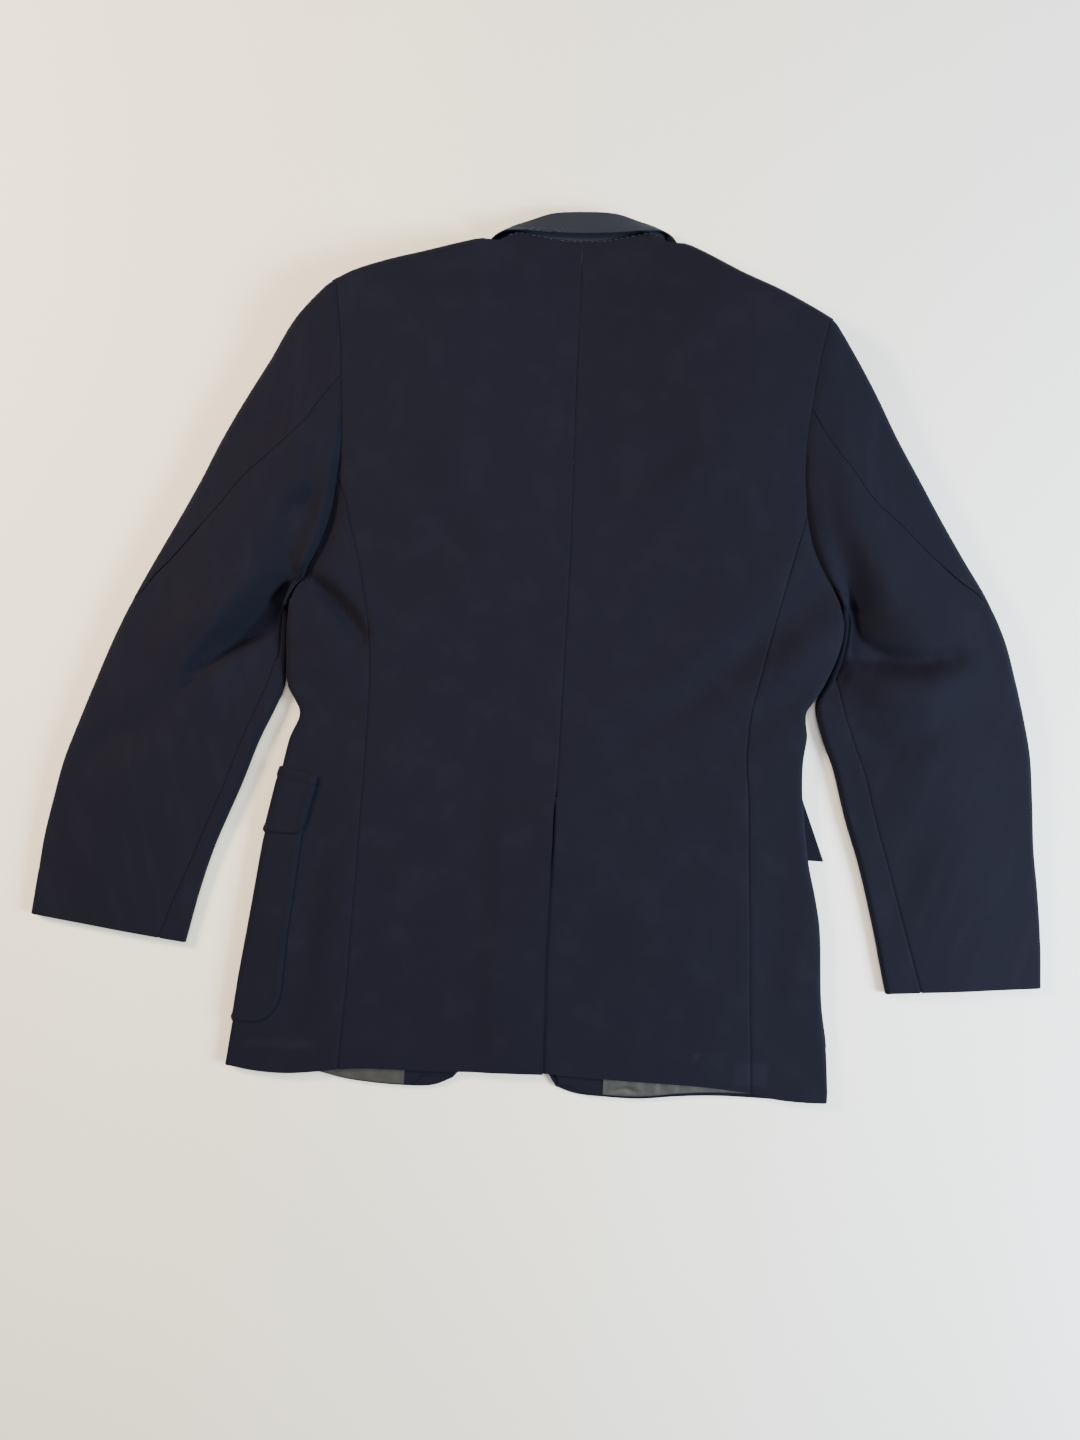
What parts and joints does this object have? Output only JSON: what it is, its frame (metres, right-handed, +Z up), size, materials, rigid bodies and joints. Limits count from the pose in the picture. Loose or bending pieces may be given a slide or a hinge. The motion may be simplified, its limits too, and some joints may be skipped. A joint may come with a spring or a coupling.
{
  "type": "blazer",
  "caption": "Navy single-breasted wool blazer laid out face down with its sleeves spread, patch pockets at the sides and a grey lining at the hem.",
  "frame": {"origin": "centre of the laid-out outline, on the surface that the blazer lies on", "axes": "+X across, towards the right as one looks down on the back, +Y from the hem to the collar, +Z up from the surface"},
  "size_m": [0.9377, 0.8039, 0.0417],
  "materials": {
    "navy_wool": "matt worsted twill",
    "collar_wool": "matt worsted twill, catching more light",
    "grey_lining": "soft satin lining",
    "dark_horn": "dull dark horn-like"
  },
  "bodies": {
    "root": {"back_left": "navy_wool", "back_right": "navy_wool", "collar": "collar_wool", "facing_left": "navy_wool", "facing_right": "navy_wool", "flap_left": "navy_wool", "flap_right": "navy_wool", "front_button_1": "dark_horn", "front_button_2": "dark_horn", "front_left": "navy_wool", "front_right": "navy_wool", "lapel_left": "navy_wool", "lapel_right": "navy_wool", "lining_left": "grey_lining", "lining_right": "grey_lining", "pocket_left": "navy_wool", "pocket_right": "navy_wool", "side_left": "navy_wool", "side_right": "navy_wool", "top_sleeve_left": "navy_wool", "top_sleeve_right": "navy_wool", "under_sleeve_left": "navy_wool", "under_sleeve_right": "navy_wool"}
  },
  "joints": []
}
